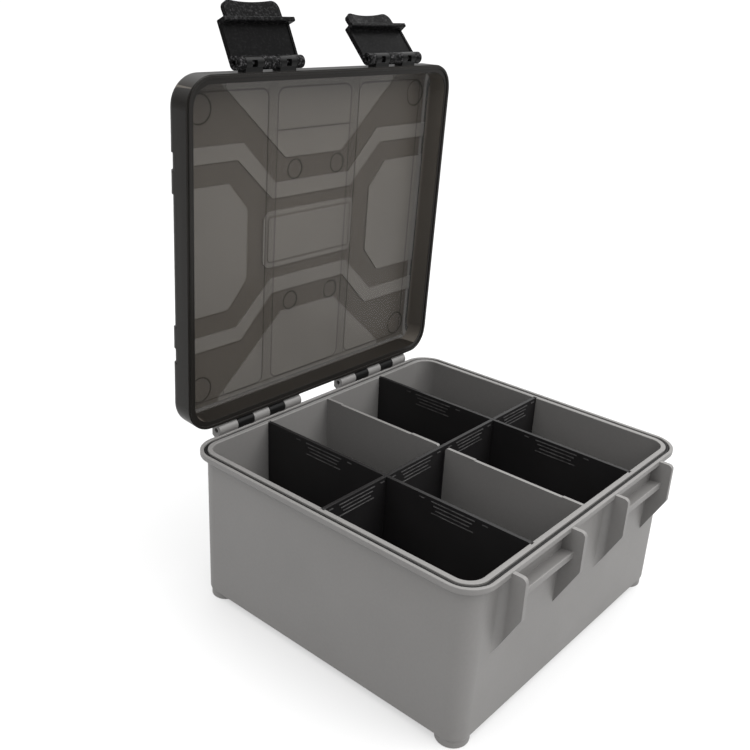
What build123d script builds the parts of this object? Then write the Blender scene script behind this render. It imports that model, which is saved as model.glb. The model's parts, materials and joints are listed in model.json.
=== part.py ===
from build123d import *
import math
import os

# Storage box with a hinged lid, two swing latches and lift-out dividers.
# Millimetres, +Z up, +X to the right, -Y towards the latches.
# Every piece is drawn with the lid shut, about the middle of the box and the table top.
# At the end the lid and the latches swing to the pose that they rest in, wide open.

# Rim and seal, from which the plan of the box is laid out
SEAL_WIDTH = 201.1
SEAL_DEPTH = 186.1
SEAL_CORNER_R = 13.0
RIM_TOP = 94.0
SEAL_SECTION_WIDTH = 1.9
SEAL_TOP_ROUND = 0.8
SEAL_BELOW_RIM = 0.7
SEAL_SIDE_GAP = 0.1
SEAL_BED_GAP = 0.05
GROOVE_DEPTH = 2.3
OUTER_LIP = 2.0
INNER_LIP = 2.9
LIP_ROUND = 0.45
FLANGE_HEIGHT = 3.6
FLANGE_ROUND = 1.2

# Walls and floor of the tub
WALL = 3.0
WALL_DRAFT = 1.0
FLOOR = 2.5
FOOT_HEIGHT = 3.4
FOOT_R = 8.6
FOOT_IN = 9.1
FOOT_ROUND = 0.6
BOTTOM_ROUND = 2.6
BOTTOM_CORNER_R = 8.5
INNER_FLOOR_ROUND = 2.0
# How far an added piece is sunk into the wall that carries it, and how far a cut runs past a face
ROOT_SINK = 0.7
OVERCUT = 1.0
# How near a face's level has to be to count as level with the rim
LEVEL_MATCH = 0.01

# Dividers and the fixed wall in the middle, with the dividers' place as a share of the seal's width
# and the low stretch of the wall's top as shares of the cavity's depth
DIVIDER_T = 2.0
DIVIDER_PLACE = 0.2457
DIVIDER_TOP_ABOVE_RIM = 0.2
DIVIDER_FLOOR_GAP = 0.25
DIVIDER_CORNER_R = 2.0
TRACK_DEPTH = 1.2
TRACK_SIDE_GAP = 0.2
TRACK_END_GAP = 0.3
LAP_GAP = 0.2
CENTRE_WALL_T = 2.0
CENTRE_WALL_BELOW_RIM = 0.3
CENTRE_SLOT = 5.0
CENTRE_SLOT_ROUND = 1.6
CENTRE_STEP = 0.4
CENTRE_STEP_FROM = 0.126
CENTRE_STEP_TO = 0.434

# Grip lines moulded on the dividers
GRIP_PROUD = 0.25
GRIP_LINE = 0.6
GRIP_PITCH = 2.2
GRIP_BELOW_TOP = 2.2
GRIP_LENGTHS = (27.0, 24.0, 21.0, 26.0)
GRIP_SIDE_MARK = 3.2
GRIP_SIDE_SHIFT = 19.5

# Front catches, each with two gussets and a ledge between them, placed by a share of the seal's width
CATCH_PLACE = 0.2412
CATCH_GAP = 50.0
GUSSET_T = 2.4
GUSSET_REACH = 7.6
GUSSET_CORNER_R = 2.6
GUSSET_ROOT_R = 3.8
GUSSET_TOP_BELOW_RIM = 0.5
GUSSET_KNEE_Z = 71.5
GUSSET_TIP_Z = 46.8
LEDGE_UNDERSIDE_Z = 77.2
LEDGE_INNER_T = 2.8
LEDGE_OUTER_T = 4.0
LEDGE_REACH = 6.9
LEDGE_ROUND = 0.6
PINHOLE_R = 0.6
PINHOLE_DEPTH = 0.9
PINHOLE_Z = 86.6

# Rear hinges, two sets of knuckles on their own pins, placed by a share of the seal's width
HINGE_PLACE = 0.2486
HINGE_AXIS_BEHIND_RIM = 2.0
HINGE_AXIS_ABOVE_RIM = 2.2
HINGE_KNUCKLE_R = 3.55
HINGE_PITCHES = (13.3, 12.5, 12.0, 12.5, 13.3)
HINGE_END_GAP = 0.25
HINGE_RUNNING_GAP = 0.3
HINGE_PIN_R = 1.3
PIN_RUN_GAP = 0.08
PIN_SEAT_GAP = 0.02
HINGE_PIN_RECESS = 2.5
HINGE_ARM_FOOT_Z = 87.0

# Lid
LID_GAP = 0.3
LID_HEIGHT = 15.2
LID_INSET = 1.1
LID_FRONT_SHIFT = 1.85
LID_CORNER_R = 16.0
LID_TOP_ROUND = 4.5
LID_OUTER_DRAFT = 0.5
LID_RIM_WIDTH = 4.4
LID_TOP_T = 2.6
LID_INNER_DRAFT = 0.8
LID_INNER_ROUND = 2.6
TONGUE_WIDTH = 1.4
TONGUE_SEAL_GAP = 0.3
LID_OPEN_DEG = 88.0

# Recessed windows and bands on the outside of the lid, which leave its ground proud.
# Corners are (x, y) from the middle of the pattern, the one nearer the middle first.
LID_STEP = 0.7
LID_STEP_HEIGHT = 5.5
PATTERN_AHEAD = 1.2
PATTERN_ROUND = 2.2
SIDE_WINDOW = ((49.5, 20.0), (62.9, 35.4))
BAND_OUTER = ((29.5, 32.3), (53.1, 55.9))
BAND_INNER = ((31.5, 23.2), (57.2, 47.1))
END_WINDOW = ((22.5, 45.2), (69.3, 87.0))
NAME_PANEL_WIDTH = 74.0
NAME_PANEL_DEPTH = 33.0
NAME_PANEL_ROUND = 5.5
NAME_PANEL_AT = (-1.0, -1.0)
NAME_FRAME = 3.6
NAME_STEP = 0.35

# Shallow marks of the mould on the inside of the lid
MARK_DEPTH = 0.2
CORNER_MARK_R = 7.4
CORNER_MARK_IN = 18.0
MIDDLE_MARK_R = 5.4
MIDDLE_MARK_AT = (17.0, 38.8)
LINE_WIDTH = 0.5
LINE_LEFT_X = -38.0
LINE_RIGHT_X = 33.0
LINE_CROSS_Y = -62.0
LINE_END_IN = 10.0

# Latches and the lugs that carry them
LATCH_AXIS_AHEAD = 4.25
LATCH_AXIS_ABOVE_LID_RIM = 2.5
LATCH_KNUCKLE_R = 3.3
LATCH_PITCHES = (5.2, 11.8, 11.4, 11.8, 5.2)
LATCH_END_GAP = 0.25
LATCH_ROOT_GAP = 0.45
LATCH_PIN_R = 1.25
LATCH_PIN_RECESS = 2.0
LATCH_PLATE_T = 2.2
LATCH_EDGE_WIDTH = 1.6
LATCH_EDGE_PROUD = 0.5
LATCH_HOOK_GAP = 0.3
LATCH_HOOK_T = 2.3
LATCH_HOOK_REACH = 4.2
LATCH_HOOK_OVERHANG = 1.3
LATCH_HOOK_ROUND = 0.6
LATCH_TAB_WIDTH = 37.0
LATCH_TAB_AT_X = 1.0
LATCH_TAB_LENGTH = 9.5
LATCH_TAB_FLARE_DEG = 4.0
LATCH_TAB_T = 2.6
LATCH_TAB_CORNER_R = 4.0
LATCH_TAB_EAR = 5.0
LATCH_TAB_DISH = 1.3
LATCH_TAB_DIP = 0.3
LATCH_LUG_WINDOW = 3.3
LATCH_LEFT_OPEN_DEG = 117.0
LATCH_RIGHT_OPEN_DEG = 134.0

# Levels and half sizes that follow from the values above
RIM_HALF_GROOVE = SEAL_SECTION_WIDTH / 2 + SEAL_SIDE_GAP
FLANGE_OUT = RIM_HALF_GROOVE + OUTER_LIP
CAVITY_IN = RIM_HALF_GROOVE + INNER_LIP
FLANGE_WIDTH = SEAL_WIDTH + 2 * FLANGE_OUT
FLANGE_DEPTH = SEAL_DEPTH + 2 * FLANGE_OUT
FLANGE_R = SEAL_CORNER_R + FLANGE_OUT
CAVITY_WIDTH = SEAL_WIDTH - 2 * CAVITY_IN
CAVITY_DEPTH = SEAL_DEPTH - 2 * CAVITY_IN
CAVITY_R = SEAL_CORNER_R - CAVITY_IN
BODY_WIDTH = CAVITY_WIDTH + 2 * WALL
BODY_DEPTH = CAVITY_DEPTH + 2 * WALL
BASE_WIDTH = BODY_WIDTH - 2 * WALL_DRAFT
BASE_DEPTH = BODY_DEPTH - 2 * WALL_DRAFT
FOOT_X = BASE_WIDTH / 2 - FOOT_IN
FOOT_Y = BASE_DEPTH / 2 - FOOT_IN
DIVIDER_SPACING = SEAL_WIDTH * DIVIDER_PLACE
CATCH_X = SEAL_WIDTH * CATCH_PLACE
HINGE_X = SEAL_WIDTH * HINGE_PLACE
FLOOR_TOP = FOOT_HEIGHT + FLOOR
SEAL_TOP = RIM_TOP - SEAL_BELOW_RIM
DIVIDER_TOP = RIM_TOP + DIVIDER_TOP_ABOVE_RIM
DIVIDER_FOOT = FLOOR_TOP + DIVIDER_FLOOR_GAP
LAP_Z = (DIVIDER_TOP + DIVIDER_FOOT) / 2
CENTRE_WALL_TOP = RIM_TOP - CENTRE_WALL_BELOW_RIM
GUSSET_FRONT_Y = -FLANGE_DEPTH / 2 - GUSSET_REACH
GUSSET_TOP_Z = RIM_TOP - GUSSET_TOP_BELOW_RIM
HINGE_Y = FLANGE_DEPTH / 2 + HINGE_AXIS_BEHIND_RIM
HINGE_Z = RIM_TOP + HINGE_AXIS_ABOVE_RIM
HINGE_LENGTH = sum(HINGE_PITCHES)
LID_RIM_Z = RIM_TOP + LID_GAP
LID_TOP_Z = LID_RIM_Z + LID_HEIGHT
LID_WIDTH = FLANGE_WIDTH - 2 * LID_INSET
LID_DEPTH = FLANGE_DEPTH - 2 * LID_FRONT_SHIFT
LID_FRONT_Y = -LID_DEPTH / 2
LID_BACK_Y = LID_DEPTH / 2
LATCH_Y = LID_FRONT_Y - LATCH_AXIS_AHEAD
LATCH_Z = LID_RIM_Z + LATCH_AXIS_ABOVE_LID_RIM
LATCH_LENGTH = sum(LATCH_PITCHES)
HINGE_AXIS = Axis((0, HINGE_Y, HINGE_Z), (1, 0, 0))
LATCH_AXIS = Axis((0, LATCH_Y, LATCH_Z), (1, 0, 0))


def block(x0, x1, y0, y1, z0, z1):
    """Box between two corners."""
    centre = Pos((x0 + x1) / 2, (y0 + y1) / 2, (z0 + z1) / 2)
    return centre * Box(x1 - x0, y1 - y0, z1 - z0)


def plan_prism(width, depth, radius, z0, z1):
    """Upright prism on a rounded rectangle about the middle of the box."""
    return extrude(Pos(0, 0, z0) * RectangleRounded(width, depth, radius), amount=z1 - z0)


def plan_taper(low, high, z0, z1):
    """Rounded rectangle drafted from low to high, each as (width, depth, radius)."""
    sections = [Pos(0, 0, z0) * RectangleRounded(*low), Pos(0, 0, z1) * RectangleRounded(*high)]
    return loft(sections, ruled=True)


def outline_face(points, corner_r=0.0, corners=()):
    """Flat outline with its numbered corners rounded."""
    face = make_face(Polyline(*points, close=True))
    if not corners:
        return face
    rounded = []
    for i in corners:
        rounded.append(min(face.vertices(), key=lambda corner: math.dist((corner.X, corner.Y), points[i])))
    return fillet(rounded, corner_r)


def side_prism(points, x0, x1, corner_r=0.0, corners=()):
    """Outline given in (y, z), run along X, with the numbered corners rounded."""
    return extrude(Plane.YZ.offset(x0) * outline_face(points, corner_r, corners), amount=x1 - x0)


def x_rod(radius, x0, x1, y, z):
    """Round bar along X."""
    return extrude(Plane.YZ.offset(x0) * Pos(y, z) * Circle(radius), amount=x1 - x0)


def spans(pitches, centre):
    """Start and end of each knuckle of a row that is centred on X = centre."""
    edge = centre - sum(pitches) / 2
    result = []
    for pitch in pitches:
        result.append((edge, edge + pitch))
        edge += pitch
    return result


def cavity_half_depth(z):
    """Half the inner depth of the tub at a height, on the drafted wall."""
    drop = (RIM_TOP - z) / (RIM_TOP - FLOOR_TOP)
    return CAVITY_DEPTH / 2 - WALL_DRAFT * drop


def cavity_half_width(z):
    """Half the inner width of the tub at a height, on the drafted wall."""
    drop = (RIM_TOP - z) / (RIM_TOP - FLOOR_TOP)
    return CAVITY_WIDTH / 2 - WALL_DRAFT * drop


def front_wall_y(z):
    """Outer face of the front wall at a height."""
    drop = (RIM_TOP - z) / (RIM_TOP - FOOT_HEIGHT)
    return -(CAVITY_DEPTH / 2 + WALL - WALL_DRAFT * drop)


def make_shell():
    """Walls, floor, flange and seal groove."""
    base = (BASE_WIDTH, BASE_DEPTH, BOTTOM_CORNER_R)
    body = plan_taper(base, (BODY_WIDTH, BODY_DEPTH, CAVITY_R + WALL), FOOT_HEIGHT, RIM_TOP)
    body = fillet(body.edges().group_by(Axis.Z)[0], BOTTOM_ROUND)
    flange = plan_prism(FLANGE_WIDTH, FLANGE_DEPTH, FLANGE_R, RIM_TOP - FLANGE_HEIGHT, RIM_TOP)
    flange = fillet(flange.edges().group_by(Axis.Z)[0], FLANGE_ROUND)
    cavity_low = (CAVITY_WIDTH - 2 * WALL_DRAFT, CAVITY_DEPTH - 2 * WALL_DRAFT, CAVITY_R - WALL_DRAFT)
    cavity = plan_taper(cavity_low, (CAVITY_WIDTH, CAVITY_DEPTH, CAVITY_R), FLOOR_TOP, RIM_TOP)
    cavity = fillet(cavity.edges().group_by(Axis.Z)[0], INNER_FLOOR_ROUND)
    groove = seal_ring(RIM_HALF_GROOVE, RIM_TOP - GROOVE_DEPTH, RIM_TOP)
    shell = body + flange - cavity - groove
    lips = [face for face in shell.faces().filter_by(Axis.Z) if abs(face.center().Z - RIM_TOP) < LEVEL_MATCH]
    edges = ShapeList(edge for face in lips for edge in face.edges())
    return fillet(edges, LIP_ROUND)


def seal_ring(half_width, z0, z1):
    """Ring along the seal's centre line."""
    grow = 2 * half_width
    outer = plan_prism(SEAL_WIDTH + grow, SEAL_DEPTH + grow, SEAL_CORNER_R + half_width, z0, z1)
    inner = plan_prism(SEAL_WIDTH - grow, SEAL_DEPTH - grow, SEAL_CORNER_R - half_width, z0, z1)
    return outer - inner


def make_feet():
    """Four round feet under the corners."""
    top = FLOOR_TOP - ROOT_SINK
    foot = extrude(Circle(FOOT_R), amount=top)
    foot = fillet(foot.edges().group_by(Axis.Z)[0], FOOT_ROUND)
    return [Pos(side * FOOT_X, end * FOOT_Y, 0) * foot for side in (-1, 1) for end in (-1, 1)]


def make_centre_wall():
    """Fixed wall in two halves, with room between them for the cross divider."""
    halves = []
    for end in (-1, 1):
        near = end * CENTRE_SLOT / 2
        step_from = end * CAVITY_DEPTH * CENTRE_STEP_FROM
        step_to = end * CAVITY_DEPTH * CENTRE_STEP_TO
        far = end * (CAVITY_DEPTH / 2 - WALL_DRAFT + WALL / 2)
        outline = [
            (near, FLOOR_TOP - ROOT_SINK),
            (far, FLOOR_TOP - ROOT_SINK),
            (far, CENTRE_WALL_TOP),
            (step_to, CENTRE_WALL_TOP),
            (step_to, CENTRE_WALL_TOP - CENTRE_STEP),
            (step_from, CENTRE_WALL_TOP - CENTRE_STEP),
            (step_from, CENTRE_WALL_TOP),
            (near, CENTRE_WALL_TOP),
        ]
        half = side_prism(outline, -CENTRE_WALL_T / 2, CENTRE_WALL_T / 2, CENTRE_SLOT_ROUND, (7,))
        halves.append(half)
    return halves


def track_cutter(along_x, shift):
    """Plate-shaped cut that leaves the tracks which hold a divider's two ends."""
    half = DIVIDER_T / 2 + TRACK_SIDE_GAP
    reach = cavity_half_width if along_x else cavity_half_depth
    above = RIM_TOP + WALL
    low = reach(FLOOR_TOP) + TRACK_DEPTH
    top = reach(above) + TRACK_DEPTH
    outline = [(-low, FLOOR_TOP), (low, FLOOR_TOP), (top, above), (-top, above)]
    plate = side_prism(outline, -half, half)
    if along_x:
        plate = plate.rotate(Axis.Z, -90)
    return Pos(0, shift, 0) * plate if along_x else Pos(shift, 0, 0) * plate


def make_gusset(inner, side):
    """Upright web of a catch with its plane face at X = inner and its rounded root on the other side."""
    lip_y = -FLANGE_DEPTH / 2 + OUTER_LIP / 2
    flange_foot = RIM_TOP - FLANGE_HEIGHT + FLANGE_ROUND
    outline = [
        (lip_y, GUSSET_TOP_Z),
        (GUSSET_FRONT_Y, GUSSET_TOP_Z),
        (GUSSET_FRONT_Y, GUSSET_KNEE_Z),
        (front_wall_y(GUSSET_TIP_Z) + ROOT_SINK, GUSSET_TIP_Z),
        (front_wall_y(RIM_TOP) + ROOT_SINK, flange_foot),
        (lip_y, flange_foot),
    ]
    outer = inner + side * GUSSET_T
    web = side_prism(outline, min(inner, outer), max(inner, outer), GUSSET_CORNER_R, (1, 2))
    # The root is a block hollowed by a cylinder, leant with the wall and trimmed to the web's outline
    wall_y = front_wall_y(GUSSET_TIP_Z)
    far = outer + side * GUSSET_ROOT_R
    low, high = min(inner, far), max(inner, far)
    root = block(low, high, wall_y - GUSSET_ROOT_R, wall_y + ROOT_SINK, GUSSET_TIP_Z, flange_foot)
    hollow = extrude(Pos(far, wall_y - GUSSET_ROOT_R, 0) * Circle(GUSSET_ROOT_R), amount=RIM_TOP)
    lean = math.degrees(math.atan2(WALL_DRAFT, RIM_TOP - FOOT_HEIGHT))
    root = (root - hollow).rotate(Axis((0, wall_y, GUSSET_TIP_Z), (1, 0, 0)), lean)
    return web + (root & side_prism(outline, low, high))


def make_catch(centre):
    """Two gussets with the ledge that the latch hooks under."""
    pieces = [make_gusset(centre + side * CATCH_GAP / 2, side) for side in (-1, 1)]
    wall_y = front_wall_y(LEDGE_UNDERSIDE_Z)
    ledge = [
        (wall_y + ROOT_SINK, LEDGE_UNDERSIDE_Z),
        (wall_y - LEDGE_REACH, LEDGE_UNDERSIDE_Z),
        (wall_y - LEDGE_REACH, LEDGE_UNDERSIDE_Z + LEDGE_OUTER_T),
        (wall_y + ROOT_SINK, LEDGE_UNDERSIDE_Z + LEDGE_INNER_T),
    ]
    half = CATCH_GAP / 2 + GUSSET_T / 2
    pieces.append(side_prism(ledge, centre - half, centre + half, LEDGE_ROUND, (1, 2)))
    return pieces


def make_pinhole(centre):
    """Small dimple in the wall above each ledge."""
    start = front_wall_y(PINHOLE_Z) - WALL
    drill = Plane.XZ.offset(-start) * Pos(centre, PINHOLE_Z) * Circle(PINHOLE_R)
    return extrude(drill, amount=-(WALL + PINHOLE_DEPTH))


def make_hinge_knuckle(x0, x1):
    """Knuckle of the tub with the arm that carries it."""
    wall_y = -front_wall_y(RIM_TOP) - ROOT_SINK
    outline = [
        (wall_y, HINGE_ARM_FOOT_Z),
        (FLANGE_DEPTH / 2 + HINGE_AXIS_BEHIND_RIM, RIM_TOP - FLANGE_HEIGHT),
        (HINGE_Y + HINGE_KNUCKLE_R, HINGE_Z - HINGE_KNUCKLE_R),
        (HINGE_Y + HINGE_KNUCKLE_R, HINGE_Z),
        (HINGE_Y, HINGE_Z),
        (FLANGE_DEPTH / 2 - OUTER_LIP / 2, RIM_TOP - LIP_ROUND),
        (FLANGE_DEPTH / 2 - OUTER_LIP / 2, RIM_TOP - FLANGE_HEIGHT + FLANGE_ROUND),
        (wall_y, RIM_TOP - FLANGE_HEIGHT + FLANGE_ROUND),
    ]
    arm = side_prism(outline, x0, x1)
    return arm + x_rod(HINGE_KNUCKLE_R, x0, x1, HINGE_Y, HINGE_Z)


def make_tub():
    """Tub with everything that is moulded with it."""
    tub = make_shell()
    tub += make_feet()
    tub += make_centre_wall()
    for side in (-1, 1):
        tub += make_catch(side * CATCH_X)
        tub -= make_pinhole(side * CATCH_X)
        row = spans(HINGE_PITCHES, side * HINGE_X)
        for x0, x1 in row[1::2]:
            tub -= x_rod(HINGE_KNUCKLE_R + HINGE_RUNNING_GAP, x0, x1, HINGE_Y, HINGE_Z)
        for x0, x1 in row[0::2]:
            tub += make_hinge_knuckle(x0, x1)
        bore = (row[0][0] - OVERCUT, row[-1][1] + OVERCUT)
        tub -= x_rod(HINGE_PIN_R + PIN_SEAT_GAP, *bore, HINGE_Y, HINGE_Z)
        tub -= track_cutter(False, side * DIVIDER_SPACING)
    tub -= track_cutter(True, 0)
    return tub


def make_rim_seal():
    """Rubber cord that lies in the groove of the rim."""
    ring = seal_ring(SEAL_SECTION_WIDTH / 2, RIM_TOP - GROOVE_DEPTH + SEAL_BED_GAP, SEAL_TOP)
    return fillet(ring.edges().group_by(Axis.Z)[-1], SEAL_TOP_ROUND)


def make_hinge_pin(side):
    """Pin of one hinge set, set back from the outer knuckles' ends."""
    half = HINGE_LENGTH / 2 - HINGE_PIN_RECESS
    centre = side * HINGE_X
    return x_rod(HINGE_PIN_R, centre - half, centre + half, HINGE_Y, HINGE_Z)


def grip_marks(centre):
    """Moulded lines near a divider's top, proud of both its faces, centred on a place along its length."""
    half = DIVIDER_T / 2 + GRIP_PROUD
    marks = []
    for row, length in enumerate(GRIP_LENGTHS):
        marks.append((centre, length, DIVIDER_TOP - GRIP_BELOW_TOP - row * GRIP_PITCH))
    for side in (-1, 1):
        marks.append((centre + side * GRIP_SIDE_SHIFT, GRIP_SIDE_MARK, DIVIDER_TOP - GRIP_BELOW_TOP))
    return [Pos(0, y, z) * Box(2 * half, length, GRIP_LINE) for y, length, z in marks]


def make_divider_plate(reach, laps_up, lap_places, grip_places):
    """Flat divider along Y with its lap slots and grip lines."""
    foot = reach(DIVIDER_FOOT) + TRACK_DEPTH - TRACK_END_GAP
    top = reach(DIVIDER_TOP) + TRACK_DEPTH - TRACK_END_GAP
    outline = [(-foot, DIVIDER_FOOT), (foot, DIVIDER_FOOT), (top, DIVIDER_TOP), (-top, DIVIDER_TOP)]
    plate = side_prism(outline, -DIVIDER_T / 2, DIVIDER_T / 2, DIVIDER_CORNER_R, (0, 1, 2, 3))
    half_slot = DIVIDER_T / 2 + LAP_GAP
    for y in lap_places:
        z0 = LAP_Z - LAP_GAP / 2 if laps_up else DIVIDER_FOOT - OVERCUT
        z1 = DIVIDER_TOP + OVERCUT if laps_up else LAP_Z + LAP_GAP / 2
        plate -= block(-DIVIDER_T, DIVIDER_T, y - half_slot, y + half_slot, z0, z1)
    for y in grip_places:
        plate += grip_marks(y)
    return plate


def make_side_divider(side):
    """Divider from front to back, with one slot that opens downwards."""
    places = (-CAVITY_DEPTH / 4, CAVITY_DEPTH / 4)
    plate = make_divider_plate(cavity_half_depth, False, (0,), places)
    return Pos(side * DIVIDER_SPACING, 0, 0) * plate


def make_cross_divider():
    """Divider from side to side, with two slots that open upwards."""
    inner = DIVIDER_SPACING / 2
    outer = (DIVIDER_SPACING + CAVITY_WIDTH / 2) / 2
    laps = (-DIVIDER_SPACING, DIVIDER_SPACING)
    plate = make_divider_plate(cavity_half_width, True, laps, (-outer, -inner, inner, outer))
    return plate.rotate(Axis.Z, -90)


def lid_block(grow):
    """Outside of the lid, grown evenly, with its drafted sides and rounded top."""
    low = (LID_WIDTH + 2 * grow, LID_DEPTH + 2 * grow, LID_CORNER_R + grow)
    shrink = LID_OUTER_DRAFT
    high = (low[0] - 2 * shrink, low[1] - 2 * shrink, low[2] - shrink)
    shape = plan_taper(low, high, LID_RIM_Z, LID_TOP_Z + grow)
    return fillet(shape.edges().group_by(Axis.Z)[-1], LID_TOP_ROUND + grow)


def make_lid_shell():
    """Tray of the lid with the tongue that presses on the seal."""
    width = LID_WIDTH - 2 * LID_RIM_WIDTH
    depth = LID_DEPTH - 2 * LID_RIM_WIDTH
    radius = LID_CORNER_R - LID_RIM_WIDTH
    low = (width, depth, radius)
    high = (width - 2 * LID_INNER_DRAFT, depth - 2 * LID_INNER_DRAFT, radius - LID_INNER_DRAFT)
    hollow = plan_taper(low, high, LID_RIM_Z, LID_TOP_Z - LID_TOP_T)
    hollow = fillet(hollow.edges().group_by(Axis.Z)[-1], LID_INNER_ROUND)
    tongue = seal_ring(TONGUE_WIDTH / 2, SEAL_TOP + TONGUE_SEAL_GAP, LID_RIM_Z + LID_GAP)
    return lid_block(0) - hollow + tongue


def mirror_x(half_outline):
    """Outline closed by its own mirror image on the other side of the middle."""
    return half_outline + [(-x, y) for x, y in reversed(half_outline)]


def recess(points, corners):
    """Prism down into the lid's top, with the numbered corners rounded."""
    face = outline_face(points, PATTERN_ROUND, corners)
    return extrude(Pos(0, -PATTERN_AHEAD, LID_TOP_Z - LID_STEP_HEIGHT) * face, amount=LID_HEIGHT)


def make_lid_recesses():
    """Windows and bands that are cut from the outside of the lid."""
    edge = LID_WIDTH / 2 + OVERCUT
    band = mirror_x([*BAND_OUTER, (edge, BAND_OUTER[1][1]), (edge, BAND_INNER[1][1]), *reversed(BAND_INNER)])
    band_corners = (0, 1, 4, 5, 6, 7, 10, 11)
    end_window = mirror_x(list(END_WINDOW))
    (neck_x, neck_y), (wide_x, wide_y) = SIDE_WINDOW
    side_window = [(neck_x, -neck_y), (neck_x, neck_y), (wide_x, wide_y)]
    side_window += [(edge, wide_y), (edge, -wide_y), (wide_x, -wide_y)]
    cuts = []
    for side in (-1, 1):
        cuts.append(recess([(x, side * y) for x, y in band], band_corners))
        cuts.append(recess([(x, side * y) for x, y in end_window], (0, 1, 2, 3)))
        cuts.append(recess([(side * x, y) for x, y in side_window], (0, 1, 2, 5)))
    return cuts


def make_name_panel(frame, depth):
    """Pocket of the bare name panel, set in by frame."""
    width, depth_y = NAME_PANEL_WIDTH - 2 * frame, NAME_PANEL_DEPTH - 2 * frame
    panel = RectangleRounded(width, depth_y, NAME_PANEL_ROUND - frame)
    return extrude(Pos(*NAME_PANEL_AT, LID_TOP_Z - depth) * panel, amount=LID_HEIGHT)


def make_lid_marks():
    """Shallow round and straight marks that the mould leaves on the inside of the lid."""
    ceiling = LID_TOP_Z - LID_TOP_T
    marks = []
    for side in (-1, 1):
        for end in (-1, 1):
            corner = (side * (LID_WIDTH / 2 - CORNER_MARK_IN), end * (LID_DEPTH / 2 - CORNER_MARK_IN))
            middle = (side * MIDDLE_MARK_AT[0], end * MIDDLE_MARK_AT[1] - PATTERN_AHEAD)
            marks.append(Pos(*corner) * Circle(CORNER_MARK_R))
            marks.append(Pos(*middle) * Circle(MIDDLE_MARK_R))
    length = LID_DEPTH - 2 * LINE_END_IN
    for x in (LINE_LEFT_X, LINE_RIGHT_X):
        marks.append(Pos(x, 0) * Rectangle(LINE_WIDTH, length))
    cross = (LINE_LEFT_X + LINE_RIGHT_X) / 2
    marks.append(Pos(cross, LINE_CROSS_Y) * Rectangle(LINE_RIGHT_X - LINE_LEFT_X, LINE_WIDTH))
    return [extrude(Pos(0, 0, ceiling - MARK_DEPTH) * mark, amount=2 * MARK_DEPTH) for mark in marks]


def make_lid_knuckle(x0, x1):
    """Knuckle of the lid with the arm that joins it to the rear of the lid."""
    root_y = LID_BACK_Y - LID_RIM_WIDTH / 2
    low_z = LID_RIM_Z + LID_GAP
    outline = [
        (root_y, low_z),
        (HINGE_Y, low_z),
        (HINGE_Y, HINGE_Z + HINGE_KNUCKLE_R),
        (root_y, HINGE_Z + HINGE_KNUCKLE_R),
    ]
    arm = side_prism(outline, x0, x1)
    return arm + x_rod(HINGE_KNUCKLE_R, x0, x1, HINGE_Y, HINGE_Z)


def make_latch_lug(x0, x1):
    """Lug on the front of the lid that holds the latch pin."""
    root_y = LID_FRONT_Y + LID_RIM_WIDTH / 2
    low_z = max(LATCH_Z - LATCH_KNUCKLE_R, LID_RIM_Z)
    lug = block(x0, x1, LATCH_Y, root_y, low_z, LATCH_Z + LATCH_KNUCKLE_R)
    lug += x_rod(LATCH_KNUCKLE_R, x0, x1, LATCH_Y, LATCH_Z)
    middle = (x0 + x1) / 2
    half = LATCH_LUG_WINDOW / 2
    foot = LATCH_Z - LATCH_KNUCKLE_R - OVERCUT
    return lug - block(middle - half, middle + half, LATCH_Y - half, LATCH_Y + half, foot, LATCH_Z)


def make_lid():
    """Lid with its hinge knuckles and latch lugs."""
    lid = make_lid_shell()
    for cut in make_lid_recesses():
        lid -= cut - lid_block(-LID_STEP)
    lid -= make_name_panel(0, LID_STEP)
    lid -= make_name_panel(NAME_FRAME, LID_STEP + NAME_STEP)
    lid -= make_lid_marks()
    for side in (-1, 1):
        row = spans(HINGE_PITCHES, side * HINGE_X)
        for x0, x1 in row[1::2]:
            lid += make_lid_knuckle(x0 + HINGE_END_GAP, x1 - HINGE_END_GAP)
        lid -= x_rod(HINGE_PIN_R + PIN_RUN_GAP, row[0][0], row[-1][1], HINGE_Y, HINGE_Z)
        row = spans(LATCH_PITCHES, side * CATCH_X)
        for x0, x1 in row[1::2]:
            lid += make_latch_lug(x0 + LATCH_END_GAP, x1 - LATCH_END_GAP)
        lid -= x_rod(LATCH_PIN_R + PIN_SEAT_GAP, row[0][0], row[-1][1], LATCH_Y, LATCH_Z)
    return lid


def make_latch_pin(side):
    """Pin of one latch."""
    half = LATCH_LENGTH / 2 - LATCH_PIN_RECESS
    centre = side * CATCH_X
    return x_rod(LATCH_PIN_R, centre - half, centre + half, LATCH_Y, LATCH_Z)


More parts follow.
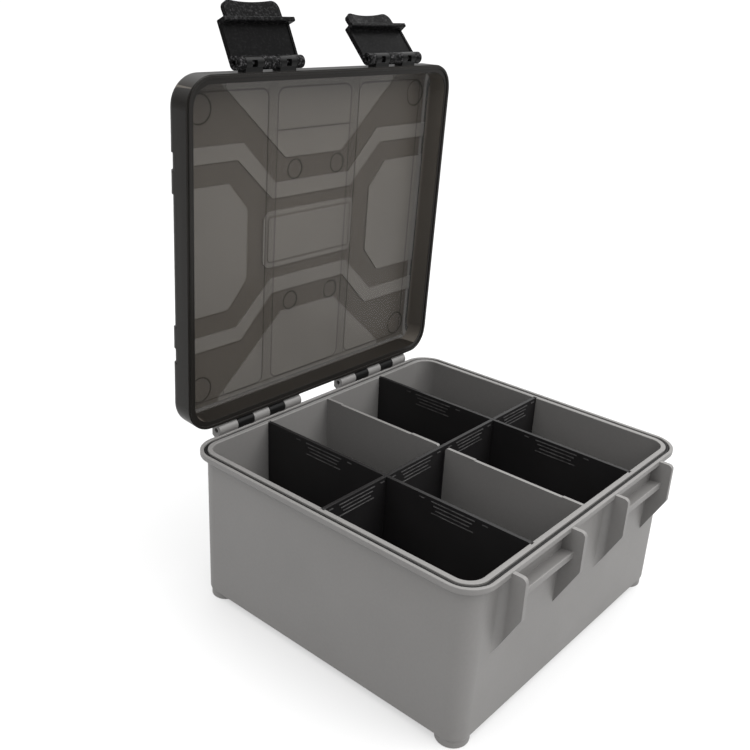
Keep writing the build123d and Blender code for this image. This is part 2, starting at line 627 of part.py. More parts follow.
def make_latch():
    """Latch as it hangs when shut, about X = 0."""
    row = spans(LATCH_PITCHES, 0)
    half = LATCH_LENGTH / 2
    outer_y = LATCH_Y - LATCH_KNUCKLE_R
    inner_y = outer_y + LATCH_PLATE_T
    hook_top = LEDGE_UNDERSIDE_Z - LATCH_HOOK_GAP
    hook_foot = hook_top - LATCH_HOOK_T
    latch = block(-half, half, outer_y, inner_y, hook_top - LATCH_HOOK_T / 2, LATCH_Z)
    edge_y = inner_y + LATCH_EDGE_PROUD
    for x0, x1 in ((-half, -half + LATCH_EDGE_WIDTH), (half - LATCH_EDGE_WIDTH, half)):
        latch += block(x0, x1, outer_y, edge_y, hook_top - LATCH_HOOK_T / 2, LATCH_Z)
    clear = LATCH_Z - LATCH_KNUCKLE_R - LATCH_ROOT_GAP
    for x0, x1 in row[1::2]:
        latch -= block(x0, x1, outer_y - OVERCUT, inner_y + OVERCUT, clear, LATCH_Z + OVERCUT)
    for x0, x1 in row[0::2]:
        latch += x_rod(LATCH_KNUCKLE_R, x0, x1, LATCH_Y, LATCH_Z)
    hook_tip = inner_y + LATCH_HOOK_REACH
    hook = [(outer_y, hook_foot), (hook_tip, hook_foot), (hook_tip, hook_top), (outer_y, hook_top)]
    latch += side_prism(hook, -half, half + LATCH_HOOK_OVERHANG, LATCH_HOOK_ROUND, (0, 1, 2))
    latch += Pos(LATCH_TAB_AT_X, outer_y, hook_foot) * make_finger_tab()
    bore = (-half - OVERCUT, half + OVERCUT)
    return latch - x_rod(LATCH_PIN_R + PIN_RUN_GAP, *bore, LATCH_Y, LATCH_Z)


def arc_radius(half_chord, rise):
    """Radius of an arc with a given half chord and rise."""
    return (half_chord**2 + rise**2) / (2 * rise)


def make_finger_tab():
    """Tab that hangs from the latch's outer lower edge, flared, with two ears and a dished inner face."""
    half = LATCH_TAB_WIDTH / 2
    scoop = half - LATCH_TAB_EAR
    tab = block(-half, half, 0, LATCH_TAB_T, -LATCH_TAB_LENGTH, LATCH_HOOK_T / 2)
    tab = fillet(tab.edges().filter_by(Axis.Y).group_by(Axis.Z)[0], LATCH_TAB_CORNER_R)
    dish_r = arc_radius(scoop, LATCH_TAB_DISH)
    dish = Pos(0, LATCH_TAB_T - LATCH_TAB_DISH + dish_r, -LATCH_TAB_LENGTH - OVERCUT) * Circle(dish_r)
    tab -= extrude(dish, amount=LATCH_TAB_LENGTH)
    dip_r = arc_radius(scoop, LATCH_TAB_DIP)
    dip = Plane.XZ * Pos(0, LATCH_TAB_DIP - LATCH_TAB_LENGTH - dip_r) * Circle(dip_r)
    tab -= extrude(dip, amount=-LATCH_TAB_T)
    return tab.rotate(Axis.X, -LATCH_TAB_FLARE_DEG)


def swing_lid(shape):
    """Move a piece of the shut lid to the open rest pose."""
    return shape.rotate(HINGE_AXIS, -LID_OPEN_DEG)


def open_lid_point(y, z):
    """Where a point of the shut lid lies when the lid is open, in the YZ plane."""
    turn = math.radians(-LID_OPEN_DEG)
    ahead, above = y - HINGE_Y, z - HINGE_Z
    turned_y = ahead * math.cos(turn) - above * math.sin(turn)
    turned_z = ahead * math.sin(turn) + above * math.cos(turn)
    return HINGE_Y + turned_y, HINGE_Z + turned_z


def place_latch(side, open_deg):
    """Latch swung open on the open lid."""
    latch = make_latch().rotate(LATCH_AXIS, -open_deg)
    return swing_lid(Pos(side * CATCH_X, 0, 0) * latch)


def build_parts():
    """All pieces by node name, in the rest pose."""
    parts = {
        "tub": make_tub(),
        "rim_seal": make_rim_seal(),
        "lid": swing_lid(make_lid()),
        "divider_left": make_side_divider(-1),
        "divider_right": make_side_divider(1),
        "cross_divider": make_cross_divider(),
        "latch_left": place_latch(-1, LATCH_LEFT_OPEN_DEG),
        "latch_right": place_latch(1, LATCH_RIGHT_OPEN_DEG),
    }
    for name, side in (("left", -1), ("right", 1)):
        parts["hinge_pin_" + name] = make_hinge_pin(side)
        parts["latch_pin_" + name] = swing_lid(make_latch_pin(side))
    return parts


def main():
    """Centre the outline over the origin, write the pieces and print the joint places."""
    parts = build_parts()
    boxes = [shape.bounding_box() for shape in parts.values()]
    middle_y = (min(b.min.Y for b in boxes) + max(b.max.Y for b in boxes)) / 2
    os.makedirs("parts", exist_ok=True)
    for name, shape in parts.items():
        export_step(Pos(0, -middle_y, 0) * shape, f"parts/{name}.step")
    latch_y, latch_z = open_lid_point(LATCH_Y, LATCH_Z)
    print("outline shift in y", round(-middle_y, 4))
    print("lid hinge y, z", round(HINGE_Y - middle_y, 4), round(HINGE_Z, 4))
    print("latch hinge y, z", round(latch_y - middle_y, 4), round(latch_z, 4))


main()
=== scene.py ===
import json
import math

import bpy
from mathutils import Matrix, Vector


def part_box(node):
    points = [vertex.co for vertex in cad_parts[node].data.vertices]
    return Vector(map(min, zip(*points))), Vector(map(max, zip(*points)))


# Looks of the storage box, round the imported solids. Metres, in the part's own frame.

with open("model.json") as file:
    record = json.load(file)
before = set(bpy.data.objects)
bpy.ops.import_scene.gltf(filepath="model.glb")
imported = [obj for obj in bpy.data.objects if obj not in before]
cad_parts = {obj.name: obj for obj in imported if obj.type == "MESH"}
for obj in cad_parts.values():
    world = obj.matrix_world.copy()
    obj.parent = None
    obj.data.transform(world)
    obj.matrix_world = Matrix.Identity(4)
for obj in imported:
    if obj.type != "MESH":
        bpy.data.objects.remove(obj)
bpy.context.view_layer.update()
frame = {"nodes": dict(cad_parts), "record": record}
MM = 0.001

# The lid's hinge line, and from it the middle of the box in the part's frame
HINGE_BEHIND_MIDDLE = 98.1 * MM
joints = {j["name"]: j for j in frame["record"]["behaviour"]["joints"]}
HINGE = Vector(joints["lid_hinge"]["pos_m"])
LID_OPEN_DEG = -joints["lid_hinge"]["range_deg"][0]
MIDDLE_Y = HINGE.y - HINGE_BEHIND_MIDDLE

# Camera, as solved from the straight edges of the box
CAMERA_PLACE = (-382.0 * MM, -267.2 * MM + MIDDLE_Y, 330.1 * MM)
CAMERA_AZIMUTH = -50.0758
CAMERA_ELEVATION = 22.7872
CAMERA_ROLL = 2.9222
CAMERA_LENS = 44.30
CAMERA_SENSOR = 36.0

# Light and floor. The sky is brighter overhead than at the horizon, by the height of the place on a unit ball.
SKY_SEEN = 1.1
SKY_LOW = 0.28
SKY_HIGH = 2.35
SKY_LOW_AT = 0.05
SKY_HIGH_AT = 0.85
FLOOR_SIZE = 60.0
FLOOR_COLOUR = (0.30, 0.30, 0.30)
FLOOR_GLOW = 0.50
LIGHT_AIM = (0, 0, 0.1)
# Name, place, size and power of each softbox
SOFTBOXES = (
    ("softbox_top", (0.3, -0.3, 1.4), (1.0, 1.0), 10.0),
    ("softbox_front", (0.5, -1.5, 1.2), (1.2, 0.9), 16.0),
)

# Colour of each plastic and metal, in linear light
TUB_COLOUR = (0.139, 0.135, 0.131)
LATCH_COLOUR = (0.0030, 0.0030, 0.0031)
LATCH_SPECK = (0.085, 0.083, 0.085)
DIVIDER_COLOUR = (0.0085, 0.0080, 0.0083)
# Painted highlight on the proud grip lines of the dividers, where they catch light
GRIP_HIGHLIGHT_COLOUR = (0.060, 0.058, 0.058)
SEAL_COLOUR = (0.005, 0.005, 0.005)
PIN_COLOUR = (0.16, 0.16, 0.165)

# Surface of the moulded pieces
EDGE_SOFTENING = 0.35 * MM
TUB_ROUGHNESS = 0.52
TUB_MOTTLE = 0.06
TUB_GRAIN = 0.35 * MM
GRAIN_DEPTH = 0.03 * MM
DIVIDER_GRAIN = 0.4 * MM
DIVIDER_GRAIN_DEPTH = 0.02 * MM
GRIP_PROUD_FROM = 1.10 * MM
GRIP_PROUD_TO = 1.20 * MM

# Pale places on a latch, by the distance from its pin: the worn knuckles, and the hook with the finger tab,
# whose pale specks are partly wear and partly a painted highlight along the hook bar's rim
KNUCKLE_END = (3.6 * MM, 4.6 * MM)
HOOK_START = (19.0 * MM, 20.0 * MM)
PLATE_WEAR = 0.08
HOOK_WEAR_AND_HIGHLIGHT = 0.35
WEAR_DEPTH = 0.06 * MM

# Smoked plastic of the lid: colour, and how much each face hides of what is behind it
LID_INNER_COLOUR = (0.043, 0.035, 0.026)
LID_WINDOW_COLOUR = (0.094, 0.0855, 0.0745)
LID_GROUND_COLOUR = (0.059, 0.052, 0.044)
# The lid's inner side walls are painted lighter, as painted light where little light reaches them, and its end
# walls darker, as painted shade where much light falls
LID_SIDE_WALL_PAINTED_LIGHT_COLOUR = (0.080, 0.071, 0.061)
LID_END_WALL_PAINTED_SHADE_COLOUR = (0.013, 0.011, 0.009)
LID_RIM_COLOUR = (0.012, 0.011, 0.010)
LID_LUG_COLOUR = (0.004, 0.004, 0.004)
LID_MARK_COLOUR = (0.012, 0.010, 0.009)
LID_INNER_HIDES = 0.26
LID_MARK_HIDES = 0.66
LID_WINDOW_HIDES = 0.945
LID_GROUND_HIDES = 0.980
LID_WALL_HIDES = 0.93
LID_RIM_HIDES = 0.97
LID_LUG_HIDES = 0.998
LID_PANEL_ROUGHNESS = 0.24
LID_SIDE_ROUGHNESS = 0.30

# The lid's parts in millimetres, on the shut lid, from its middle: x to the right, y to the back
LID_HALF_WIDTH = 102.5
LID_HALF_DEPTH = 94.25
PANEL_HALF_WIDTH = 96.8
PANEL_HALF_DEPTH = 88.6
PANEL_FOOT_Z = 104.5
PANEL_OUTSIDE_Z = 107.7
WALL_HALF_WIDTH = 99.0
WALL_HALF_DEPTH = 90.7
WALL_FOOT_Z = 94.6
LUG_GAP = 0.3

# Pattern on the lid's outside, alike in its four quarters. A slanted edge goes from one point to another and
# runs level beyond them. The points hold x and y for the band, and y and x for the windows.
PATTERN_SHIFT_Y = 1.2
PATTERN_BLUR = 0.25
BAND_OUTER_EDGE = ((29.5, 32.3), (53.1, 55.9))
BAND_INNER_EDGE = ((31.5, 23.2), (57.2, 47.1))
SIDE_WINDOW_EDGE = ((20.0, 49.5), (35.4, 62.9))
END_WINDOW_EDGE = ((45.2, 22.5), (87.0, 69.3))
NAME_SHIFT = 1.0
NAME_HALF_WIDTH = 37.0
NAME_HALF_DEPTH = 16.5
NAME_ROUND = 5.5
NAME_FRAME_IN = 3.2
NAME_FRAME_HALF_WIDTH = 0.6
NAME_FRAME_LIGHT = 0.35

# Marks on the lid's inside: rings, and two flat strips from front to back that part three shallow fields
MARK_LINE = 0.9
CORNER_RING_IN = 18.0
CORNER_RING_RADIUS = 7.4
MIDDLE_RING_X = 17.0
MIDDLE_RING_Y = 38.8
MIDDLE_RING_RADIUS = 5.4
STRIP_SHIFT_X = 2.5
STRIP_INSIDE = 28.7
STRIP_OUTSIDE = 35.5
STRIP_SHARE = 0.16
FIELD_HALF_DEPTH = 84.25
OUTER_FIELD_HALF_WIDTH = 28.0
FIELD_ROUND = 5.0
FIELD_EDGE_SHARE = 0.75
CROSS_LINE_Y = -62.0


class Tree:
    """Short calls that build the nodes of one material."""

    def __init__(self, name, **settings):
        self.material = bpy.data.materials.new(name)
        self.material.use_nodes = True
        self.nodes = self.material.node_tree.nodes
        self.links = self.material.node_tree.links
        self.shader = self.nodes["Principled BSDF"]
        for socket, value in settings.items():
            self.shader.inputs[socket.replace("_", " ")].default_value = value

    def feed(self, socket, value):
        """Set a socket from another socket or from a plain value."""
        if isinstance(value, bpy.types.NodeSocket):
            self.links.new(value, socket)
        elif value is not None:
            socket.default_value = value

    def node(self, kind, **settings):
        made = self.nodes.new(kind)
        for key, value in settings.items():
            setattr(made, key, value)
        return made

    def math(self, operation, a, b=None, c=None):
        made = self.node("ShaderNodeMath", operation=operation)
        for socket, value in zip(made.inputs, (a, b, c)):
            self.feed(socket, value)
        return made.outputs[0]

    def hypotenuse(self, a, b):
        squares = self.math("MULTIPLY_ADD", a, a, self.math("MULTIPLY", b, b))
        return self.math("SQRT", squares)

    def place(self):
        """Place on the piece at rest, in metres."""
        return self.node("ShaderNodeTexCoord").outputs["Object"]

    def split(self, vector):
        """X, Y and Z of a vector."""
        made = self.node("ShaderNodeSeparateXYZ")
        self.feed(made.inputs[0], vector)
        return made.outputs

    def noise(self, size, detail=2.0, where=None, roughness=0.5):
        """Soft noise whose blobs are about size across, in metres."""
        made = self.node("ShaderNodeTexNoise")
        self.feed(made.inputs["Vector"], where or self.place())
        made.inputs["Scale"].default_value = 1.0 / size
        made.inputs["Detail"].default_value = detail
        made.inputs["Roughness"].default_value = roughness
        return made.outputs["Fac"]

    def spread(self, value, low, high, to_low=0.0, to_high=1.0):
        """Stretch value from low..high to to_low..to_high, held at the ends."""
        made = self.node("ShaderNodeMapRange", clamp=True)
        for name, entry in zip(("Value", "From Min", "From Max", "To Min", "To Max"),
                               (value, low, high, to_low, to_high)):
            self.feed(made.inputs[name], entry)
        return made.outputs["Result"]

    def between(self, share, first, second):
        """Number that goes from first to second."""
        return self.spread(share, 0.0, 1.0, first, second)

    def blend(self, share, first, second):
        """Colour that goes from first to second."""
        made = self.node("ShaderNodeMix", data_type="RGBA")
        self.feed(made.inputs["Factor"], share)
        for socket, colour in ((made.inputs[6], first), (made.inputs[7], second)):
            self.feed(socket, colour if isinstance(colour, bpy.types.NodeSocket) else (*colour, 1.0))
        return made.outputs[2]

    def relief(self, height, depth, base=None):
        """Normal of a surface with height from 0 to 1, depth deep in metres."""
        made = self.node("ShaderNodeBump")
        made.inputs["Strength"].default_value = 1.0
        made.inputs["Distance"].default_value = depth
        self.feed(made.inputs["Height"], height)
        self.feed(made.inputs["Normal"], base)
        return made.outputs["Normal"]

    def soft_edges(self):
        made = self.node("ShaderNodeBevel", samples=6)
        made.inputs["Radius"].default_value = EDGE_SOFTENING
        return made.outputs["Normal"]

    def give(self, **sockets):
        """Link sockets of the shader."""
        for socket, value in sockets.items():
            self.feed(self.shader.inputs[socket.replace("_", " ")], value)
        return self.material


def tint(colour, factor):
    return tuple(part * factor for part in colour)


def tub_plastic():
    """Matte grey plastic with a fine even grain, faint flow marks and softened edges."""
    tree = Tree("tub_plastic", Specular_IOR_Level=0.5)
    flow = tree.noise(55 * MM, 3.0)
    speck = tree.noise(1.6 * MM, 3.0)
    share = tree.math("MULTIPLY_ADD", speck, 0.4, tree.math("MULTIPLY", flow, 0.6))
    dark, light = tint(TUB_COLOUR, 1 - TUB_MOTTLE), tint(TUB_COLOUR, 1 + TUB_MOTTLE)
    painted = tree.blend(tree.spread(share, 0.3, 0.7), dark, light)
    grainy = tree.noise(TUB_GRAIN, 3.0, roughness=0.6)
    scuffs = tree.noise(18 * MM, 4.0)
    gloss = tree.math("MULTIPLY_ADD", scuffs, 0.10, TUB_ROUGHNESS - 0.05)
    normal = tree.relief(grainy, GRAIN_DEPTH, tree.soft_edges())
    return tree.give(Base_Color=painted, Roughness=gloss, Normal=normal)


def seal_rubber():
    """Dark rubber with a little dust."""
    tree = Tree("seal_rubber", Specular_IOR_Level=0.15)
    dust = tree.spread(tree.noise(3.0 * MM, 4.0), 0.45, 0.75)
    painted = tree.blend(dust, SEAL_COLOUR, tint(SEAL_COLOUR, 1.7))
    gloss = tree.spread(tree.noise(9 * MM, 3.0), 0.3, 0.7, 0.38, 0.5)
    normal = tree.relief(tree.noise(0.5 * MM), 0.02 * MM)
    return tree.give(Base_Color=painted, Roughness=gloss, Normal=normal)


def pin_steel():
    """Plain drawn steel, with fine lines along the pin."""
    tree = Tree("pin_steel", Metallic=1.0)
    drawn = tree.node("ShaderNodeMapping")
    tree.feed(drawn.inputs["Vector"], tree.place())
    drawn.inputs["Scale"].default_value = (0.05, 1.0, 1.0)
    lines = tree.noise(0.15 * MM, 2.0, drawn.outputs[0])
    painted = tree.blend(lines, tint(PIN_COLOUR, 0.85), tint(PIN_COLOUR, 1.1))
    gloss = tree.spread(lines, 0.2, 0.8, 0.26, 0.4)
    return tree.give(Base_Color=painted, Roughness=gloss, Normal=tree.relief(lines, 0.01 * MM))


def latch_plastic(side):
    """Black moulded plastic, satin on the plate, with specks of wear on the knuckles, and pale specks on the
    hook and the tab that are partly wear and partly a painted highlight.
    """
    tree = Tree("latch_plastic_" + side, Specular_IOR_Level=0.025)
    from_pin = tree.node("ShaderNodeVectorMath", operation="SUBTRACT")
    tree.feed(from_pin.inputs[0], tree.place())
    from_pin.inputs[1].default_value = joints[f"latch_{side}_hinge"]["pos_m"]
    parts = tree.split(from_pin.outputs[0])
    reach = tree.hypotenuse(parts["Y"], parts["Z"])
    knuckle = tree.spread(reach, *KNUCKLE_END, 1.0, PLATE_WEAR)
    # The hook's and tab's pale specks are partly wear and partly a painted highlight along the hook bar's rim
    hook_wear_and_highlight = tree.spread(reach, *HOOK_START, 0.0, HOOK_WEAR_AND_HIGHLIGHT)
    speck = tree.spread(tree.noise(1.3 * MM, 4.0, roughness=0.75), 0.50, 0.70)
    wear_and_highlight = tree.math("MULTIPLY", speck, tree.math("MAXIMUM", knuckle, hook_wear_and_highlight))
    painted = tree.blend(wear_and_highlight, LATCH_COLOUR, LATCH_SPECK)
    gloss = tree.spread(tree.noise(12 * MM, 4.0), 0.3, 0.7, 0.28, 0.46)
    normal = tree.relief(wear_and_highlight, WEAR_DEPTH, tree.soft_edges())
    return tree.give(Base_Color=painted, Roughness=gloss, Normal=normal)


def divider_plastic(name, axis, middle):
    """Black moulded plastic with a fine grain, and a patchy painted highlight where the grip lines stand
    proud.
    """
    tree = Tree("divider_plastic_" + name, Specular_IOR_Level=0.25)
    off = tree.math("ABSOLUTE", tree.math("SUBTRACT", tree.split(tree.place())[axis], middle))
    proud = tree.spread(off, GRIP_PROUD_FROM, GRIP_PROUD_TO)
    flow = tree.spread(tree.noise(30 * MM, 3.0), 0.3, 0.7)
    painted = tree.blend(flow, tint(DIVIDER_COLOUR, 0.9), tint(DIVIDER_COLOUR, 1.12))
    # Painted highlight, broken into patches, where the proud grip lines catch light
    highlight_patches = tree.spread(tree.noise(4 * MM, 3.0), 0.35, 0.6, 0.35, 1.0)
    painted = tree.blend(tree.math("MULTIPLY", proud, highlight_patches), painted, GRIP_HIGHLIGHT_COLOUR)
    gloss = tree.spread(tree.noise(18 * MM, 4.0), 0.3, 0.7, 0.34, 0.46)
    grainy = tree.noise(DIVIDER_GRAIN, 3.0, roughness=0.6)
    normal = tree.relief(grainy, DIVIDER_GRAIN_DEPTH, tree.soft_edges())
    return tree.give(Base_Color=painted, Roughness=gloss, Normal=normal)


def lid_coordinates(tree):
    """Across, front-to-back and height places on the shut lid, in millimetres."""
    turn = math.radians(LID_OPEN_DEG)
    back = Matrix.Translation(HINGE) @ Matrix.Rotation(turn, 4, "X") @ Matrix.Translation(-HINGE)
    shut = tree.node("ShaderNodeMapping")
    tree.feed(shut.inputs["Vector"], tree.place())
    shut.inputs["Location"].default_value = back.to_translation()
    shut.inputs["Rotation"].default_value = (turn, 0, 0)
    parts = tree.split(shut.outputs[0])
    across = tree.math("DIVIDE", parts["X"], MM)
    along = tree.math("MULTIPLY_ADD", parts["Y"], 1 / MM, -MIDDLE_Y / MM)
    return across, along, tree.math("DIVIDE", parts["Z"], MM)


def inside(tree, value):
    """1 where value, in millimetres, is above zero, with a soft edge."""
    return tree.spread(value, -PATTERN_BLUR / 2, PATTERN_BLUR / 2)


def below(tree, value, limit):
    """1 where value is under limit."""
    return inside(tree, tree.math("SUBTRACT", limit, value))


def above(tree, value, limit):
    """1 where value is over limit."""
    return inside(tree, tree.math("SUBTRACT", value, limit))


def both(tree, *shares):
    result = shares[0]
    for share in shares[1:]:
        result = tree.math("MULTIPLY", result, share)
    return result


def either(tree, *shares):
    result = shares[0]
    for share in shares[1:]:
        result = tree.math("MAXIMUM", result, share)
    return result


def slanted(tree, value, edge):
    """Height of a slanted edge at value, level before its first point and after its last."""
    (low, to_low), (high, to_high) = edge
    return tree.spread(value, low, high, to_low, to_high)


def round_box(tree, x, y, half_x, half_y, radius):
    """Distance outwards from the edge of a rounded rectangle, right to within the radius inside it."""
    over_x = tree.math("MAXIMUM", tree.math("SUBTRACT", tree.math("ABSOLUTE", x), half_x - radius), 0.0)
    over_y = tree.math("MAXIMUM", tree.math("SUBTRACT", tree.math("ABSOLUTE", y), half_y - radius), 0.0)
    return tree.math("SUBTRACT", tree.hypotenuse(over_x, over_y), radius)


def line(tree, distance, half_width=MARK_LINE / 2):
    """1 on a thin line where distance, in millimetres, is zero."""
    return below(tree, tree.math("ABSOLUTE", distance), half_width)


def ring(tree, x, y, radius):
    """Thin ring about the origin of x and y."""
    return line(tree, tree.math("SUBTRACT", tree.hypotenuse(x, y), radius))


def lid_windows(tree, across, along):
    """Share of light plastic on the lid's panel: windows, the bands between them and the name panel."""
    u = tree.math("ABSOLUTE", across)
    v = tree.math("ABSOLUTE", tree.math("ADD", along, PATTERN_SHIFT_Y))
    # The band follows the sides, runs in along a diagonal and crosses the middle
    band = both(tree, above(tree, v, slanted(tree, u, BAND_INNER_EDGE)),
                below(tree, v, slanted(tree, u, BAND_OUTER_EDGE)))
    # Windows at the two sides, and at the front and the back
    side = both(tree, above(tree, u, slanted(tree, v, SIDE_WINDOW_EDGE)),
                below(tree, v, SIDE_WINDOW_EDGE[1][0]))
    end = both(tree, below(tree, u, slanted(tree, v, END_WINDOW_EDGE)),
               above(tree, v, END_WINDOW_EDGE[0][0]))
    # The name panel is bare, with a darker line along its inner frame
    edge = round_box(tree, tree.math("ADD", across, NAME_SHIFT), tree.math("ADD", along, NAME_SHIFT),
                     NAME_HALF_WIDTH, NAME_HALF_DEPTH, NAME_ROUND)
    frame_line = line(tree, tree.math("ADD", edge, NAME_FRAME_IN), NAME_FRAME_HALF_WIDTH)
    name = both(tree, below(tree, edge, 0.0), tree.between(frame_line, 1.0, NAME_FRAME_LIGHT))
    return either(tree, band, side, end, name)


def lid_marks(tree, across, along):
    """Edges of the mould's round and straight marks on the inside of the lid."""
    u = tree.math("ABSOLUTE", across)
    v = tree.math("ABSOLUTE", along)
    corner = ring(tree, tree.math("SUBTRACT", u, LID_HALF_WIDTH - CORNER_RING_IN),
                  tree.math("SUBTRACT", v, LID_HALF_DEPTH - CORNER_RING_IN), CORNER_RING_RADIUS)
    shifted = tree.math("ABSOLUTE", tree.math("ADD", along, PATTERN_SHIFT_Y))
    middle = ring(tree, tree.math("SUBTRACT", u, MIDDLE_RING_X),
                  tree.math("SUBTRACT", shifted, MIDDLE_RING_Y), MIDDLE_RING_RADIUS)
    aside = tree.math("ABSOLUTE", tree.math("ADD", across, STRIP_SHIFT_X))
    past_strip = tree.math("SUBTRACT", aside, STRIP_OUTSIDE + OUTER_FIELD_HALF_WIDTH)
    middle_field = round_box(tree, aside, along, STRIP_INSIDE, FIELD_HALF_DEPTH, FIELD_ROUND)
    outer_field = round_box(tree, past_strip, along, OUTER_FIELD_HALF_WIDTH, FIELD_HALF_DEPTH, FIELD_ROUND)
    cross = both(tree, line(tree, tree.math("SUBTRACT", along, CROSS_LINE_Y)),
                 below(tree, aside, STRIP_INSIDE))
    edges = either(tree, line(tree, middle_field), line(tree, outer_field), cross)
    strip = both(tree, above(tree, aside, STRIP_INSIDE), below(tree, aside, STRIP_OUTSIDE), STRIP_SHARE)
    return either(tree, corner, middle, tree.math("MULTIPLY", edges, FIELD_EDGE_SHARE), strip)


def lid_plastic():
    """Smoked plastic that lets some light through, least where it is thick."""
    tree = Tree("lid_plastic", Specular_IOR_Level=0.11)
    across, along, height = lid_coordinates(tree)
    u = tree.math("ABSOLUTE", across)
    v = tree.math("ABSOLUTE", along)
    # Where each part of the lid is: the flat panel, its outer face, the side walls, the end walls and the lugs
    panel = both(tree, below(tree, u, PANEL_HALF_WIDTH), below(tree, v, PANEL_HALF_DEPTH),
                 above(tree, height, PANEL_FOOT_Z))
    outside = above(tree, height, PANEL_OUTSIDE_Z)
    wall = both(tree, below(tree, u, WALL_HALF_WIDTH), below(tree, v, WALL_HALF_DEPTH),
                above(tree, height, WALL_FOOT_Z))
    ends = above(tree, v, PANEL_HALF_DEPTH)
    lugs = above(tree, v, LID_HALF_DEPTH + LUG_GAP)
    light = lid_windows(tree, across, along)
    marks = both(tree, lid_marks(tree, across, along), below(tree, height, PANEL_OUTSIDE_Z))
    # Colour, with faint flow marks
    backed = tree.blend(light, LID_GROUND_COLOUR, LID_WINDOW_COLOUR)
    faced = tree.blend(marks, LID_INNER_COLOUR, LID_MARK_COLOUR)
    # Painted light on the side walls and painted shade on the end walls, for how differently light falls on
    # them
    walls_lit_and_shaded = tree.blend(ends, LID_SIDE_WALL_PAINTED_LIGHT_COLOUR, LID_END_WALL_PAINTED_SHADE_COLOUR)
    sided = tree.blend(wall, LID_RIM_COLOUR, walls_lit_and_shaded)
    painted = tree.blend(panel, sided, tree.blend(outside, faced, backed))
    painted = tree.blend(lugs, painted, LID_LUG_COLOUR)
    toned = tree.node("ShaderNodeVectorMath", operation="SCALE")
    tree.feed(toned.inputs[0], painted)
    tree.feed(toned.inputs["Scale"], tree.spread(tree.noise(70 * MM, 2.0), 0.3, 0.7, 0.93, 1.07))
    # How much each face hides
    backed = tree.between(light, LID_GROUND_HIDES, LID_WINDOW_HIDES)
    faced = tree.between(marks, LID_INNER_HIDES, LID_MARK_HIDES)
    sided = tree.between(wall, LID_RIM_HIDES, LID_WALL_HIDES)
    hides = tree.between(panel, sided, tree.between(outside, faced, backed))
    hides = tree.math("MAXIMUM", hides, tree.math("MULTIPLY", lugs, LID_LUG_HIDES))
    gloss = tree.between(panel, LID_SIDE_ROUGHNESS, LID_PANEL_ROUGHNESS)
    normal = tree.relief(tree.noise(6 * MM, 2.0), 0.015 * MM, tree.soft_edges())
    return tree.give(Base_Color=toned.outputs[0], Alpha=hides, Roughness=gloss, Normal=normal)


def dress(material, *nodes):
    for name in nodes:
        mesh = frame["nodes"][name].data
        mesh.materials.clear()
        mesh.materials.append(material)


def add_floor():
    """Pale paper that glows a little."""
    tree = Tree("floor_paper", Roughness=0.9, Specular_IOR_Level=0.1, Emission_Strength=FLOOR_GLOW,
                Emission_Color=(1.0, 1.0, 1.0, 1.0))
    paper = tree.noise(0.4, 3.0)
    tree.give(Base_Color=tree.blend(paper, tint(FLOOR_COLOUR, 0.995), FLOOR_COLOUR))
    bpy.ops.mesh.primitive_plane_add(size=FLOOR_SIZE)
    floor = bpy.context.object
    floor.name = "floor"
    floor.data.materials.append(tree.material)


def add_softbox(name, place, size, power):
    lamp = bpy.data.lights.new(name, "AREA")
    lamp.shape = "RECTANGLE"
    lamp.size, lamp.size_y = size
    lamp.energy = power
    holder = bpy.data.objects.new(name, lamp)
    bpy.context.scene.collection.objects.link(holder)
    holder.location = place
    holder.rotation_euler = (Vector(LIGHT_AIM) - Vector(place)).to_track_quat("-Z", "Y").to_euler()


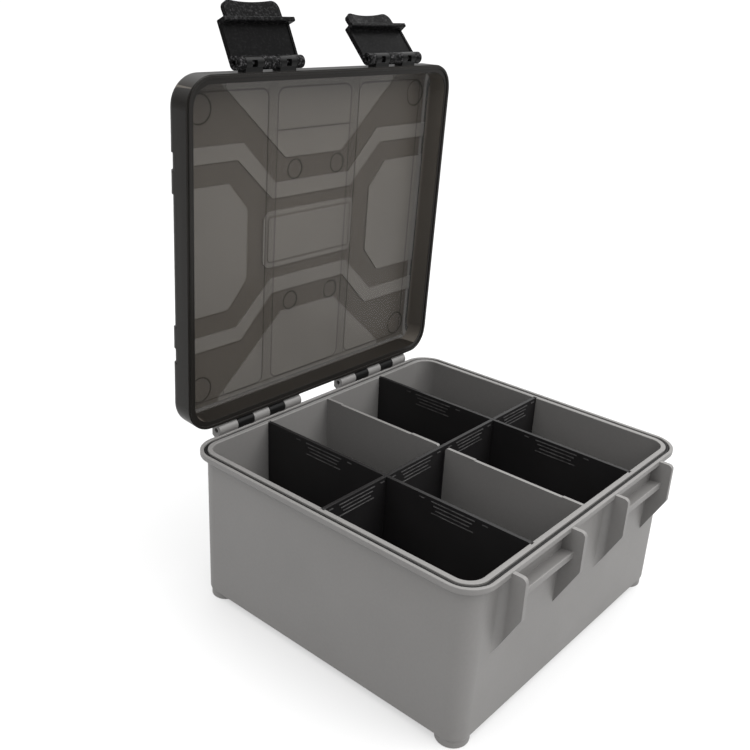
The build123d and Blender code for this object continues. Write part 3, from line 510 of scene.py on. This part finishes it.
def add_light():
    world = bpy.data.worlds.new("studio")
    bpy.context.scene.world = world
    world.use_nodes = True
    nodes, links = world.node_tree.nodes, world.node_tree.links
    split = nodes.new("ShaderNodeSeparateXYZ")
    links.new(nodes.new("ShaderNodeTexCoord").outputs["Generated"], split.inputs[0])
    climb = nodes.new("ShaderNodeMapRange")
    climb.interpolation_type = "SMOOTHSTEP"
    links.new(split.outputs["Z"], climb.inputs["Value"])
    climb.inputs["From Min"].default_value = SKY_LOW_AT
    climb.inputs["From Max"].default_value = SKY_HIGH_AT
    climb.inputs["To Min"].default_value = SKY_LOW
    climb.inputs["To Max"].default_value = SKY_HIGH
    # What is seen behind the floor's far edge is plain white, whatever lights the box
    seen = nodes.new("ShaderNodeMix")
    links.new(nodes.new("ShaderNodeLightPath").outputs["Is Camera Ray"], seen.inputs["Factor"])
    links.new(climb.outputs["Result"], seen.inputs["A"])
    seen.inputs["B"].default_value = SKY_SEEN
    sky = nodes["Background"]
    sky.inputs["Color"].default_value = (1, 1, 1, 1)
    links.new(seen.outputs["Result"], sky.inputs["Strength"])
    for softbox in SOFTBOXES:
        add_softbox(*softbox)


def add_camera():
    turn, lift, roll = (math.radians(a) for a in (CAMERA_AZIMUTH, CAMERA_ELEVATION, CAMERA_ROLL))
    back = Vector((math.sin(turn) * math.cos(lift), -math.cos(turn) * math.cos(lift), math.sin(lift)))
    right = Vector((math.cos(turn), math.sin(turn), 0))
    up = back.cross(right)
    rolled_right = math.cos(roll) * right + math.sin(roll) * up
    rolled_up = math.cos(roll) * up - math.sin(roll) * right
    lens = bpy.data.cameras.new("photo_camera")
    lens.sensor_width = CAMERA_SENSOR
    lens.lens = CAMERA_LENS
    camera = bpy.data.objects.new("photo_camera", lens)
    bpy.context.scene.collection.objects.link(camera)
    axes = Matrix((rolled_right, rolled_up, back)).transposed().to_4x4()
    camera.matrix_world = Matrix.Translation(CAMERA_PLACE) @ axes
    bpy.context.scene.camera = camera


dress(tub_plastic(), "tub")
dress(lid_plastic(), "lid")
dress(seal_rubber(), "rim_seal")
dress(pin_steel(), "hinge_pin_left", "hinge_pin_right", "latch_pin_left", "latch_pin_right")
for side in ("left", "right"):
    dress(latch_plastic(side), "latch_" + side)
    low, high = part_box("divider_" + side)
    dress(divider_plastic(side, "X", (low[0] + high[0]) / 2), "divider_" + side)
low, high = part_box("cross_divider")
dress(divider_plastic("cross", "Y", (low[1] + high[1]) / 2), "cross_divider")
add_floor()
add_light()
add_camera()
bpy.context.scene.view_settings.view_transform = "Standard"
